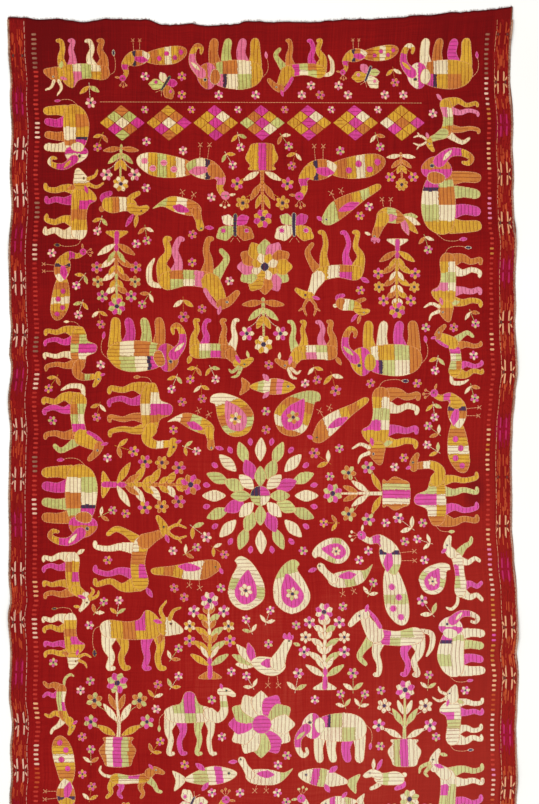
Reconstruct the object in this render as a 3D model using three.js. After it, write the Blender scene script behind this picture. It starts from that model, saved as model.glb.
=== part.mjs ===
// A phulkari: one sheet of coarse hand-woven cotton, laid flat with its face up.
// Millimetres. +X runs from the left selvedge to the right one, +Y along the cloth, +Z up.
import * as THREE from 'three';

// Driving dimensions
const clothWidth = 1300;       // selvedge to selvedge, without the bulges of the edges
const clothLength = 2460;      // raw end to raw end, without the unevenness of the ends
const clothThickness = 1.5;    // hand-spun cotton with silk floats lying on it
const strips = 24;             // steps across the cloth
const rows = 62;               // steps along it
const sideCrowding = 0.35;     // how far the steps across crowd towards the selvedges

// How far each selvedge stands out from a straight line, at a distance down from the top end
const leftSelvedge = [
  { down: 0, out: 6 }, { down: 75, out: 3.6 }, { down: 168, out: -2.6 }, { down: 199, out: -0.8 },
  { down: 292, out: -5.4 }, { down: 400, out: -0.6 }, { down: 477, out: -4.9 }, { down: 601, out: 2.6 },
  { down: 740, out: 0.5 }, { down: 802, out: -3.6 }, { down: 864, out: 0.8 }, { down: 895, out: -3.9 },
  { down: 988, out: 3.6 }, { down: 1066, out: -1.8 }, { down: 1128, out: 1 }, { down: 1241, out: 3 },
  { down: 1344, out: 1 }, { down: 1434, out: 2.8 }, { down: 1499, out: -1.8 }, { down: 1538, out: 4 },
  { down: 1638, out: -1.8 }, { down: 1747, out: 1.5 }, { down: 1824, out: -6.4 }, { down: 1886, out: -1.3 },
  { down: 1950, out: -4.4 }, { down: 2010, out: 0 }, { down: 2080, out: -3 }, { down: 2144, out: 1 },
  { down: 2221, out: -2 }, { down: 2300, out: 2 }, { down: 2376, out: -1 }, { down: 2460, out: 4 },
];
const rightSelvedge = [
  { down: 0, out: -3 }, { down: 90, out: -9.8 }, { down: 168, out: -10.6 }, { down: 276, out: -2.3 },
  { down: 338, out: -4.6 }, { down: 415, out: -0.5 }, { down: 446, out: -2.3 }, { down: 524, out: -0.3 },
  { down: 578, out: 5.9 }, { down: 686, out: 2.6 }, { down: 738, out: 4.6 }, { down: 782, out: 2.6 },
  { down: 911, out: 8.5 }, { down: 973, out: 2.6 }, { down: 1050, out: -4.1 }, { down: 1138, out: -7 },
  { down: 1240, out: -5.2 }, { down: 1318, out: -5.9 }, { down: 1396, out: -0.3 }, { down: 1484, out: 7 },
  { down: 1592, out: 11 }, { down: 1638, out: 5.9 }, { down: 1692, out: 11.6 }, { down: 1778, out: 8 },
  { down: 1832, out: 5.2 }, { down: 1886, out: 6.7 }, { down: 1963, out: 9 }, { down: 2020, out: 5.7 },
  { down: 2080, out: 8.6 }, { down: 2150, out: 3.5 }, { down: 2230, out: 6.2 }, { down: 2320, out: 1 },
  { down: 2400, out: 3.4 }, { down: 2460, out: -1.5 },
];

// How far each raw end stands out from a straight line, at a distance from the left selvedge
const topEnd = [
  { across: 0, out: 5 }, { across: 45, out: 4 }, { across: 90, out: -1.5 }, { across: 135, out: 1 },
  { across: 190, out: -6.5 }, { across: 270, out: 0.5 }, { across: 355, out: -0.5 }, { across: 395, out: -14 },
  { across: 440, out: -15.5 }, { across: 480, out: -12 }, { across: 522, out: -17.3 }, { across: 575, out: -14 },
  { across: 622, out: -5.5 }, { across: 690, out: -7.5 }, { across: 770, out: -7.5 }, { across: 880, out: -1 },
  { across: 970, out: 1 }, { across: 1070, out: 10 }, { across: 1160, out: 17 }, { across: 1230, out: 23 },
  { across: 1300, out: 31 },
];
const bottomEnd = [
  { across: 0, out: 4 }, { across: 110, out: -3 }, { across: 240, out: 5 }, { across: 330, out: 1 },
  { across: 460, out: 9 }, { across: 590, out: 3 }, { across: 700, out: 8 }, { across: 830, out: -4 },
  { across: 950, out: 2 }, { across: 1060, out: -7 }, { across: 1190, out: -2 }, { across: 1300, out: -9 },
];

// Low ripples where the cloth doesn't lie quite down: place, half sizes and height
const ripples = [
  { across: 0, down: 120, wide: 95, long: 75, high: 3.2 },
  { across: 0, down: 601, wide: 110, long: 90, high: 3.8 },
  { across: 0, down: 990, wide: 90, long: 80, high: 3 },
  { across: 0, down: 1540, wide: 100, long: 95, high: 4 },
  { across: 0, down: 2144, wide: 90, long: 85, high: 3 },
  { across: 1300, down: 60, wide: 130, long: 90, high: 3.6 },
  { across: 1300, down: 578, wide: 90, long: 85, high: 3 },
  { across: 1300, down: 911, wide: 100, long: 80, high: 4 },
  { across: 1300, down: 1592, wide: 120, long: 100, high: 4.4 },
  { across: 1300, down: 1963, wide: 95, long: 80, high: 3.2 },
  { across: 250, down: 0, wide: 120, long: 75, high: 2.8 },
  { across: 700, down: 0, wide: 150, long: 80, high: 3 },
  { across: 460, down: 2460, wide: 140, long: 80, high: 3 },
  { across: 1000, down: 2460, wide: 120, long: 75, high: 2.6 },
];

// A smooth value between the rows of a table
function between(table, key, at) {
  if (at <= table[0][key]) return table[0].out;
  for (let i = 1; i < table.length; i += 1) {
    const before = table[i - 1];
    const after = table[i];
    if (at <= after[key]) {
      const share = (at - before[key]) / (after[key] - before[key]);
      const eased = (1 - Math.cos(Math.PI * share)) / 2;
      return before.out + (after.out - before.out) * eased;
    }
  }
  return table[table.length - 1].out;
}

// A share across the cloth from 0 to 1, with the steps crowded towards both selvedges
function crowded(share) {
  return share - (sideCrowding * Math.sin(2 * Math.PI * share)) / (2 * Math.PI);
}

// Height of the underside: flat on the surface, lifted only where a ripple runs
function lift(across, down) {
  let height = 0;
  for (const ripple of ripples) {
    const far = Math.hypot((across - ripple.across) / ripple.wide, (down - ripple.down) / ripple.long);
    if (far < 1) height = Math.max(height, (ripple.high * (1 + Math.cos(Math.PI * far))) / 2);
  }
  return height;
}

// A point of the underside at shares across and down
function clothPoint(shareAcross, shareDown) {
  const across = clothWidth * shareAcross;
  const down = clothLength * shareDown;
  const left = -clothWidth / 2 - between(leftSelvedge, 'down', down);
  const right = clothWidth / 2 + between(rightSelvedge, 'down', down);
  const top = clothLength / 2 + between(topEnd, 'across', across);
  const bottom = -clothLength / 2 - between(bottomEnd, 'across', across);
  return new THREE.Vector3(
    left + (right - left) * shareAcross,
    top + (bottom - top) * shareDown,
    lift(across, down),
  );
}

// The sheet as one closed body: an underside, a face one thickness above it and the edge between
function clothGeometry() {
  const points = [];
  for (const rise of [0, clothThickness]) {
    for (let row = 0; row <= rows; row += 1) {
      for (let strip = 0; strip <= strips; strip += 1) {
        const point = clothPoint(crowded(strip / strips), row / rows);
        points.push(point.x, point.y, point.z + rise);
      }
    }
  }
  const perRow = strips + 1;
  const perSide = perRow * (rows + 1);
  const under = (row, strip) => row * perRow + strip;
  const face = (row, strip) => perSide + under(row, strip);
  const triangles = [];
  const quad = (a, b, c, d) => triangles.push(a, b, c, a, c, d);
  for (let row = 0; row < rows; row += 1) {
    for (let strip = 0; strip < strips; strip += 1) {
      quad(face(row, strip), face(row + 1, strip), face(row + 1, strip + 1), face(row, strip + 1));
      quad(under(row, strip), under(row, strip + 1), under(row + 1, strip + 1), under(row + 1, strip));
    }
  }
  for (let strip = 0; strip < strips; strip += 1) {
    quad(under(0, strip), face(0, strip), face(0, strip + 1), under(0, strip + 1));
    quad(under(rows, strip + 1), face(rows, strip + 1), face(rows, strip), under(rows, strip));
  }
  for (let row = 0; row < rows; row += 1) {
    quad(under(row + 1, 0), face(row + 1, 0), face(row, 0), under(row, 0));
    quad(under(row, strips), face(row, strips), face(row + 1, strips), under(row + 1, strips));
  }
  const geometry = new THREE.BufferGeometry();
  geometry.setAttribute('position', new THREE.Float32BufferAttribute(points, 3));
  geometry.setIndex(triangles);
  geometry.computeBoundingBox();
  const centre = geometry.boundingBox.getCenter(new THREE.Vector3());
  geometry.translate(-centre.x, -centre.y, -geometry.boundingBox.min.z);
  geometry.computeVertexNormals();
  return geometry;
}

const redCotton = new THREE.MeshStandardMaterial({ color: 0x8a1a1c, roughness: 0.9, metalness: 0 });

const phulkari = new THREE.Group();
const cloth = new THREE.Mesh(clothGeometry(), redCotton);
cloth.name = 'cloth';
phulkari.add(cloth);

export default phulkari;
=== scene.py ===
# A phulkari laid out flat: coarse red cotton with silk floss worked over it in darning stitch.
import math
import bpy
import numpy as np
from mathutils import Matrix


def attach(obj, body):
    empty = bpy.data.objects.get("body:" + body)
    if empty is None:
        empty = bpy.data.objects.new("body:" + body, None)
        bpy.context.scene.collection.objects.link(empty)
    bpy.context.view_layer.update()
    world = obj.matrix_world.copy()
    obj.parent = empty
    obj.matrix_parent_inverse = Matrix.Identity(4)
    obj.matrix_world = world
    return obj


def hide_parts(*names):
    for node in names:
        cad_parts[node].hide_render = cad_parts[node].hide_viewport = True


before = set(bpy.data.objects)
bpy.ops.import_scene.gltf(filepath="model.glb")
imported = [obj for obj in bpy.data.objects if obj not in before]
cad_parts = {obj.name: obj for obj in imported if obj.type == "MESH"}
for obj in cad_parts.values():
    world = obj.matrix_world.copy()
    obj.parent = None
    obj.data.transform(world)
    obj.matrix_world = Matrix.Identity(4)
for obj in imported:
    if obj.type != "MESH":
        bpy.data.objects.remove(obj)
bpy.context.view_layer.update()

# Sizes of the cloth, in millimetres; its middle is at 0, 0 and y runs up the photo
MM = 0.001
WIDE, LONG = 1300.0, 2460.0
COTTON_THICK = 1.0               # the ground cloth alone
ROW_PITCH = 2.25                 # from one row of floats to the next
FLOAT_LONG = 9.6                 # a float of floss, and so the spacing of the lines in a filled motif
FLOAT_WIDE, FLOAT_HIGH = 1.3 * ROW_PITCH, 0.5
FLOAT_SUNK = 0.12                # how deep a stitch's foot is in the cotton
STITCH_GAP = 0.3                 # bare ground between two floats of a row
SHORTEST_SPAN = 1.2              # what is left of a row stays bare where it is shorter
SHORTEST_FLOAT = 1.4             # within a row
SHORTEST_END = 3.2               # from a row's end to its first seam
SEAM_SWAY = 0.9                  # how far a filling's upright seams wander
SEAM_JITTER = 0.16               # and how uneven they are
COLOUR_JITTER = 0.8              # how unevenly two colours meet
OUTLINE_LONG, OUTLINE_WIDE, OUTLINE_HIGH = 7.0, 1.6, 0.55
MOST_STITCHES = 24000            # in one mesh
# How often a filling runs up the cloth and not across it, by the way that its part asks for
UPRIGHT_SHARE = {"x": 0.06, "y": 0.3}
BAND_ROWS = (7.5, 43.0, 2.7)     # the band's upright rows: from, to and pitch, from its selvedge
BAND_INNER = (42.0, 40.0)        # the band's inner side from its selvedge, left and right
LADDER_AT = (66.0, 61.5)         # the ladder's middle from its selvedge, left and right
LADDER_WIDE, LADDER_PITCH = (14.5, 0.8 * 14.5), (12.0, 12.9)    # its ticks, left and right
PHOTO_MM = 2.58                  # millimetres to one pixel of the photo
PHOTO_TOP, PHOTO_MIDDLE = 19.0, 261.9
PHOTO_WIDE, PHOTO_HIGH = 539, 804

rng = np.random.default_rng(7)

# How far each selvedge stands out from a straight line: (down from the top end, out)
LEFT_SELVEDGE = (
    (0, 6), (75, 3.6), (168, -2.6), (199, -0.8), (292, -5.4), (400, -0.6), (477, -4.9), (601, 2.6),
    (740, 0.5), (802, -3.6), (864, 0.8), (895, -3.9), (988, 3.6), (1066, -1.8), (1128, 1), (1241, 3),
    (1344, 1), (1434, 2.8), (1499, -1.8), (1538, 4), (1638, -1.8), (1747, 1.5), (1824, -6.4),
    (1886, -1.3), (1950, -4.4), (2010, 0), (2080, -3), (2144, 1), (2221, -2), (2300, 2), (2376, -1),
    (2460, 4),
)
RIGHT_SELVEDGE = (
    (0, -3), (90, -9.8), (168, -10.6), (276, -2.3), (338, -4.6), (415, -0.5), (446, -2.3), (524, -0.3),
    (578, 5.9), (686, 2.6), (738, 4.6), (782, 2.6), (911, 8.5), (973, 2.6), (1050, -4.1), (1138, -7),
    (1240, -5.2), (1318, -5.9), (1396, -0.3), (1484, 7), (1592, 11), (1638, 5.9), (1692, 11.6),
    (1778, 8), (1832, 5.2), (1886, 6.7), (1963, 9), (2020, 5.7), (2080, 8.6), (2150, 3.5), (2230, 6.2),
    (2320, 1), (2400, 3.4), (2460, -1.5),
)
# How far each raw end stands out: (across from the left selvedge, out)
TOP_END = (
    (0, 5), (45, 4), (90, -1.5), (135, 1), (190, -6.5), (270, 0.5), (355, -0.5), (395, -14), (440, -15.5),
    (480, -12), (522, -17.3), (575, -14), (622, -5.5), (690, -7.5), (770, -7.5), (880, -1), (970, 1),
    (1070, 10), (1160, 17), (1230, 23), (1300, 31),
)
BOTTOM_END = (
    (0, 4), (110, -3), (240, 5), (330, 1), (460, 9), (590, 3), (700, 8), (830, -4), (950, 2), (1060, -7),
    (1190, -2), (1300, -9),
)
# Low ripples: across, down, half size across, half size along, height
RIPPLES = (
    (0, 120, 95, 75, 3.2), (0, 601, 110, 90, 3.8), (0, 990, 90, 80, 3), (0, 1540, 100, 95, 4),
    (0, 2144, 90, 85, 3), (1300, 60, 130, 90, 3.6), (1300, 578, 90, 85, 3), (1300, 911, 100, 80, 4),
    (1300, 1592, 120, 100, 4.4), (1300, 1963, 95, 80, 3.2), (250, 0, 120, 75, 2.8), (700, 0, 150, 80, 3),
    (460, 2460, 140, 80, 3), (1000, 2460, 120, 75, 2.6),
)


def between(table, at):
    """A smooth value between the rows of a table."""
    at = np.asarray(at, float)
    places, outs = np.array(table, float).T
    i = np.clip(np.searchsorted(places, at) - 1, 0, len(places) - 2)
    share = np.clip((at - places[i]) / (places[i + 1] - places[i]), 0, 1)
    return outs[i] + (outs[i + 1] - outs[i]) * (1 - np.cos(np.pi * share)) / 2


def puckers(x, y):
    """The slight unevenness of cloth that silk has drawn up, in millimetres."""
    wave = (np.sin(x / 23.0 + 1.3 * np.sin(y / 61.0)) * np.sin(y / 31.0 + 1.1 * np.sin(x / 47.0))
            + 0.6 * np.sin(x / 71.0 + y / 53.0) * np.sin(y / 89.0 - x / 131.0))
    return 0.22 * (wave + 1.6)


def lift(across, down):
    """Height of the underside over the surface it lies on."""
    height = np.zeros_like(across)
    for at, far_down, wide, long, high in RIPPLES:
        far = np.hypot((across - at) / wide, (down - far_down) / long)
        height = np.maximum(height, np.where(far < 1, high * (1 + np.cos(np.pi * np.minimum(far, 1))) / 2, 0))
    return height


# The solid's box is centred on the frame, so the same shift centres this sheet on it
SHIFT_X = (max(o for _, o in LEFT_SELVEDGE) - max(o for _, o in RIGHT_SELVEDGE)) / 2
SHIFT_Y = (max(o for _, o in BOTTOM_END) - max(o for _, o in TOP_END)) / 2


def swayed(x, down):
    """x on the straight cloth moved to where the uneven selvedges carry it."""
    share = (x + WIDE / 2) / WIDE
    left, right = between(LEFT_SELVEDGE, down), between(RIGHT_SELVEDGE, down)
    return x - left * (1 - share) + right * share


def laid(x, y):
    """A point of the straight cloth, where it lies: x, y and the height of its face."""
    x, y = np.asarray(x, float), np.asarray(y, float)
    down = LONG / 2 - y
    across = x + WIDE / 2
    top, bottom = between(TOP_END, across), between(BOTTOM_END, across)
    share = (down + top) / (LONG + top + bottom)
    height = lift(across, LONG * share) + COTTON_THICK + puckers(x, y)
    return swayed(x, down) + SHIFT_X, y + SHIFT_Y, height


def photo_x(pixel):
    return (pixel - PHOTO_MIDDLE) * PHOTO_MM


def photo_y(pixel):
    return LONG / 2 - (pixel - PHOTO_TOP) * PHOTO_MM


# Floss: every stitch is gathered here by its thread, then each thread becomes one joined mesh
stitches = {}


def stitch(thread, starts, ends, wide, high, tone):
    """Adds rows of stitches from starts to ends, in millimetres on the straight cloth."""
    starts, ends = np.atleast_2d(starts), np.atleast_2d(ends)
    count = len(starts)
    if count > 0:
        spread = [np.broadcast_to(np.asarray(v, float), (count,)) for v in (wide, high, tone)]
        stitches.setdefault(thread, []).append((starts, ends, *spread))


def stitch_meshes(thread):
    """A thread's stitches as joined meshes, from the top of the cloth down, so that none is too heavy."""
    columns = [np.concatenate(c) for c in zip(*stitches[thread])]
    order = np.argsort(-columns[0][:, 1], kind="stable")
    shares = np.array_split(order, math.ceil(len(order) / MOST_STITCHES))
    return [stitch_mesh(f"{thread}_floss_{i + 1}", *(c[share] for c in columns))
            for i, share in enumerate(shares)]


def stitch_mesh(name, starts, ends, wide, high, tone):
    """One closed, low-ridged body to each stitch, all joined."""
    way = ends - starts
    length = np.maximum(np.linalg.norm(way, axis=1), 1e-6)
    way = way / length[:, None]
    side = np.stack([-way[:, 1], way[:, 0]], 1) * (wide / 2)[:, None]
    slope = way * np.minimum(0.3 * length, 1.3)[:, None]
    # four corners in the cloth, and a ridge of two points
    flat = np.stack([starts + side, starts - side, ends + side, ends - side, starts + slope, ends - slope], 1)
    x, y, face = laid(flat[..., 0], flat[..., 1])
    rise = np.full_like(face, -FLOAT_SUNK)
    rise[:, 4:] = high[:, None]
    points = np.stack([x, y, face + rise], 2).reshape(-1, 3) * MM
    corners = np.array([(2, 0, 4), (2, 4, 5), (1, 3, 5), (1, 5, 4),
                        (0, 1, 4), (3, 2, 5), (0, 2, 3), (0, 3, 1)])
    faces = (corners[None] + 6 * np.arange(len(starts))[:, None, None]).reshape(-1, 3)
    side_to_side = np.tile([1.0, -1.0, 1.0, -1.0, 0.0, 0.0], len(starts))
    return mesh_piece(name, points, faces, {"tone": np.repeat(tone, 6), "across": side_to_side})


def mesh_piece(name, points, faces, values=None):
    """A piece from points and faces, with a flat map over the cloth and any values on its points."""
    mesh = bpy.data.meshes.new(name)
    mesh.from_pydata(points, [], faces.tolist())
    for key, numbers in (values or {}).items():
        mesh.attributes.new(key, "FLOAT", "POINT").data.foreach_set("value", numbers.astype(np.float32))
    corner = np.empty(len(mesh.loops), np.int32)
    mesh.loops.foreach_get("vertex_index", corner)
    low, high = points[:, :2].min(0), points[:, :2].max(0)
    flat = 0.002 + 0.996 * (points[corner, :2] - low) / np.maximum(high - low, 1e-6)
    mesh.uv_layers.new(name="OFBake").data.foreach_set("uv", flat.astype(np.float32).ravel())
    mesh.polygons.foreach_set("use_smooth", np.ones(len(mesh.polygons), bool))
    mesh.update()
    piece = bpy.data.objects.new(name, mesh)
    bpy.context.scene.collection.objects.link(piece)
    return piece


# Filling a motif: floats follow the weave, so a turned motif is still filled across or up the cloth

def crossings(outline, level, along):
    """Where a row at a level enters and leaves an outline, as pairs."""
    across = 1 - along
    after = np.roll(outline, -1, 0)
    cut = (outline[:, across] > level) != (after[:, across] > level)
    a, b = outline[cut], after[cut]
    at = a[:, along] + (level - a[:, across]) / (b[:, across] - a[:, across]) * (b[:, along] - a[:, along])
    return np.sort(at).reshape(-1, 2)


def left_bare(spans, covers, level, along):
    """What is left of a row's spans outside the parts that lie over it."""
    for low, high, outline in covers:
        if not low[1 - along] < level < high[1 - along]:
            continue
        for start, end in crossings(outline, level, along):
            kept = []
            for a, b in spans:
                if end <= a or start >= b:
                    kept.append((a, b))
                    continue
                if start - a > 1:
                    kept.append((a, start - STITCH_GAP))
                if b - end > 1:
                    kept.append((end + STITCH_GAP, b))
            spans = kept
    return spans


def inside(points, outline):
    """Which points lie inside an outline."""
    x, y = points[:, 0][:, None], points[:, 1][:, None]
    a, b = outline[None], np.roll(outline, -1, 0)[None]
    cut = (a[..., 1] > y) != (b[..., 1] > y)
    drop = np.where(b[..., 1] == a[..., 1], 1, b[..., 1] - a[..., 1])
    at = a[..., 0] + (y - a[..., 1]) / drop * (b[..., 0] - a[..., 0])
    return (np.sum(cut & (x < at), axis=1) % 2) == 1


def evenly(path, step, least=1):
    """Points an even step apart along a path, in at least so many steps."""
    far = np.concatenate([[0], np.cumsum(np.linalg.norm(np.diff(path, axis=0), axis=1))])
    count = max(int(round(far[-1] / step)), least)
    at = np.linspace(0, far[-1], count + 1)
    return np.stack([np.interp(at, far, path[:, 0]), np.interp(at, far, path[:, 1])], 1)


def line_stitches(path, thread, covers):
    """Stitches end to end along a path, where nothing lies over it."""
    points = evenly(path, OUTLINE_LONG, 6 if np.allclose(path[0], path[-1]) else 1)
    starts, ends = points[:-1], points[1:]
    middle = (starts + ends) / 2
    shown = np.ones(len(middle), bool)
    for low, high, outline in covers:
        near = np.all((middle > low) & (middle < high), axis=1)
        if near.any():
            shown[near] &= ~inside(middle[near], outline)
    gap = (ends - starts) * 0.05
    stitch(thread, (starts + gap)[shown], (ends - gap)[shown], OUTLINE_WIDE, OUTLINE_HIGH,
           rng.normal(0, 0.3, shown.sum()))


def fill(patch, outline, covers, place, threads):
    """Fills one part of a motif with rows of floats, cut where its colours change."""
    (cx, cy), turn, size, flip = place
    cos, sin = math.cos(turn), math.sin(turn)
    # nearly all floats run across the cloth, so that their seams stand upright
    along = int(rng.random() < UPRIGHT_SHARE[patch["run"]])
    # how fast the motif's own x and y change along each way of the cloth
    own_x, own_y = (cos * flip / size, sin * flip / size), (-sin / size, cos / size)
    slopes, slopes_across = (own_x, own_y) if patch["by"] == "x" else (own_y, own_x)
    limits = np.array([b[0] for b in patch["bands"]])
    split, second = patch["under"] or (-1e9, "")
    phase = rng.uniform(0, FLOAT_LONG)
    shade = rng.normal(0, 0.22)
    low, high = outline.min(0), outline.max(0)
    rows = {}
    first = math.ceil(low[1 - along] / ROW_PITCH)
    last = math.floor(high[1 - along] / ROW_PITCH)
    for row in range(first, last + 1):
        level = row * ROW_PITCH + 0.01
        spans = left_bare([tuple(s) for s in crossings(outline, level, along)], covers, level, along)
        here = np.array([0.0, 0.0])
        here[1 - along] = level
        base = (here[0] - cx) * slopes[0] + (here[1] - cy) * slopes[1]
        base_across = (here[0] - cx) * slopes_across[0] + (here[1] - cy) * slopes_across[1]
        slope, slope_across = slopes[along], slopes_across[along]
        for a, b in spans:
            if b - a < SHORTEST_SPAN:
                continue
            cuts = [a, b]
            grid = np.arange(math.ceil((a - phase + SHORTEST_END) / FLOAT_LONG),
                             (b - phase - SHORTEST_END) / FLOAT_LONG)
            sway = SEAM_SWAY * math.sin(0.045 * level + 2 * phase)
            cuts += list(phase + FLOAT_LONG * grid + (sway + rng.normal(0, SEAM_JITTER, len(grid))))
            edges = []
            if abs(slope) > 1e-6:
                edges += list((limits[:-1] + rng.normal(0, COLOUR_JITTER, len(limits) - 1) - base) / slope)
            if second and abs(slope_across) > 1e-6:
                edges.append((split + rng.normal(0, COLOUR_JITTER) - base_across) / slope_across)
            cuts += [e for e in edges if a + SHORTEST_SPAN < e < b - SHORTEST_SPAN]
            cuts = np.sort(cuts)
            keep = np.concatenate([[True], np.diff(cuts) > SHORTEST_FLOAT])
            keep[-1] = True
            cuts = cuts[keep]
            for s, e in zip(cuts[:-1], cuts[1:]):
                where = base + slope * (s + e) / 2
                where += rng.normal(0, COLOUR_JITTER) if abs(slope) <= 1e-6 else 0
                band = min(int(np.searchsorted(limits, where)), len(limits) - 1)
                below = second and base_across + slope_across * (s + e) / 2 < split
                colour = second[band % len(second)] if below else patch["bands"][band][1]
                trim = min(STITCH_GAP / 2, (e - s) * 0.2)
                rows.setdefault(colour, []).append((level, s + trim, e - trim))
    for colour, found in rows.items():
        level, s, e = np.array(found).T
        starts, ends = np.stack([s, level], 1), np.stack([e, level], 1)
        if along == 1:
            starts, ends = starts[:, ::-1], ends[:, ::-1]
        tone = shade + rng.normal(0, 0.3, len(level))
        high = FLOAT_HIGH * rng.uniform(0.85, 1.1, len(level))
        stitch(threads[colour], starts, ends, FLOAT_WIDE, high, tone)


def placed(points, place):
    """A motif's points set down on the cloth: mirrored, sized, turned and moved."""
    (x, y), turn, size, flip = place
    p = points * [flip * size, size]
    cos, sin = math.cos(turn), math.sin(turn)
    return np.stack([x + cos * p[:, 0] - sin * p[:, 1], y + sin * p[:, 0] + cos * p[:, 1]], 1)


def work(motif, place, threads):
    """Works a motif at its place: outlines in the edge thread, floats inside, later parts under earlier."""
    covers = []
    for patch in motif:
        if "path" in patch:
            line_stitches(placed(patch["path"], place), threads[patch["colour"]], covers)
            continue
        outline = placed(patch["outline"], place)
        fill(patch, outline, covers, place, threads)
        if patch["edge"]:
            line_stitches(np.vstack([outline, outline[:1]]), threads[patch["edge"]], covers)
        covers.append((outline.min(0), outline.max(0), outline))


# Motifs: outlines in millimetres, the animal facing +x and standing on y = 0

def smooth(points, closed=True, steps=5):
    """A soft line through a few points, as a hand draws it on the cloth."""
    pts = np.asarray(points, float)
    if closed:
        before, after, beyond = np.roll(pts, 1, 0), np.roll(pts, -1, 0), np.roll(pts, -2, 0)
        start = pts
    else:
        padded = np.vstack([2 * pts[0] - pts[1], pts, 2 * pts[-1] - pts[-2]])
        before, start, after, beyond = padded[:-3], padded[1:-2], padded[2:-1], padded[3:]
    t = (np.arange(steps) / steps)[None, :, None]
    p0, p1, p2, p3 = (p[:, None, :] for p in (before, start, after, beyond))
    line = 0.5 * (2 * p1 + (p2 - p0) * t + (2 * p0 - 5 * p1 + 4 * p2 - p3) * t ** 2
                  + (3 * p1 - p0 - 3 * p2 + p3) * t ** 3)
    line = line.reshape(-1, 2)
    return line if closed else np.vstack([line, pts[-1]])


def limb(points, widths):
    """A tapering leg, neck, tail or stem with round ends."""
    line = smooth(points, closed=False)
    along = np.linspace(0, len(widths) - 1, len(line))
    half = np.interp(along, np.arange(len(widths)), widths) / 2
    way = np.gradient(line, axis=0)
    way /= np.linalg.norm(way, axis=1)[:, None] + 1e-9
    side = np.stack([-way[:, 1], way[:, 0]], 1)
    cap = np.radians([50, 90, 130])

    def end(at, heading, side_way, radius):
        return [at + radius * (np.cos(a) * side_way + np.sin(a) * heading) for a in cap]

    left = line + side * half[:, None]
    right = line - side * half[:, None]
    tip = end(line[-1], way[-1], side[-1], half[-1])
    root = end(line[0], -way[0], -side[0], half[0])
    return np.vstack([left, tip, right[::-1], root])


def petal(x, y, length, width, turn, belly=0.5):
    """A leaf or petal that starts at x, y and points at the angle turn, in degrees."""
    a = math.radians(turn)
    shape = np.array([[0, 0], [0.25, 0.36], [belly, 0.5], [0.8, 0.3], [1, 0],
                      [0.8, -0.3], [belly, -0.5], [0.25, -0.36]]) * [length, width]
    turned = shape @ np.array([[math.cos(a), math.sin(a)], [-math.sin(a), math.cos(a)]])
    return smooth(turned + [x, y], steps=3)


def disc(x, y, radius, sides=8):
    a = np.arange(sides) * 2 * math.pi / sides
    return np.stack([x + radius * np.cos(a), y + radius * np.sin(a)], 1)


# Colours in a motif are letters: a and b its two main silks, c the strong one, d the pale one,
# e the light one, n the dark one, and o and p its outlines.

def part(outline, *bands, by="x", run="y", edge="o", under=None):
    """One filled part: its outline, its colours as (limit, colour) bands, and its floats' way.

    under is a limit the other way and the bands' colours below it, as in patchwork.
    """
    if isinstance(bands[0], str):
        bands = ((1e9, bands[0]),)
    return {"outline": outline, "bands": bands, "by": by, "run": run, "edge": edge, "under": under}


def line(points, colour, straight=False):
    """A thin line of stitches."""
    path = np.asarray(points, float) if straight else smooth(points, closed=False, steps=3)
    return {"path": path, "colour": colour}


# A leaf, a wing and a tuft take the place, length, width and turn that a petal does

def eye(x, y, radius):
    return part(disc(x, y, radius), "n", edge="e")


def leaf(colour, *as_petal):
    return part(petal(*as_petal), colour, run="x")


def wing(*as_petal):
    return part(petal(*as_petal), "c", run="x", edge="p")


def tuft(*as_petal):
    """An ear, comb, beak or tail end in the strong colour."""
    return part(petal(*as_petal), "c", edge="p")


def stem(points, colour, widths):
    return part(limb(points, widths), colour, run="x")


def leg(points, colour, widths):
    """A leg, worked a little fuller than its widths."""
    return part(limb(points, [1.18 * w for w in widths]), colour, run="x", edge=edge_of(colour))


def edge_of(colour):
    """The strong colour has a pink outline and the others the usual one."""
    return "p" if colour == "c" else "o"


def elephant():
    body = [(-72, 60), (-80, 84), (-66, 108), (-36, 120), (0, 119), (34, 110), (50, 88), (44, 60),
            (4, 50), (-40, 50)]
    head = [(38, 66), (34, 92), (44, 116), (62, 119), (79, 102), (82, 82), (70, 62), (52, 56)]
    return [
        leaf("e", 74, 74, 30, 9, -42),
        part(smooth([(30, 74), (25, 92), (34, 108), (48, 104), (50, 88), (42, 72)]), "b", run="x", edge="e"),
        eye(63, 97, 4.5),
        part(limb([(72, 82), (90, 60), (91, 34), (80, 14), (68, 20), (70, 32)], (26, 19, 15, 12, 9, 7)),
             (18, "b"), (34, "a"), (200, "c"), by="y", run="x"),
        part(smooth(head), (56, "c"), (200, "b"), run="y", edge="p"),
        part(smooth(body), (-52, "a"), (-18, "d"), (10, "e"), (18, "n"), (34, "c"), (99, "b"),
             under=(84, "aebbdb")),
        leg([(-62, 62), (-64, 34), (-62, 6)], "a", (28, 21, 19)),
        leg([(-34, 56), (-28, 32), (-32, 6)], "c", (24, 18, 17)),
        leg([(8, 56), (8, 30), (4, 6)], "d", (24, 18, 17)),
        leg([(36, 62), (40, 34), (38, 6)], "b", (26, 19, 18)),
        line([(-78, 92), (-92, 76), (-94, 54), (-90, 42)], "o"),
        tuft(-91, 46, 18, 8, -84),
    ]


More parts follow.
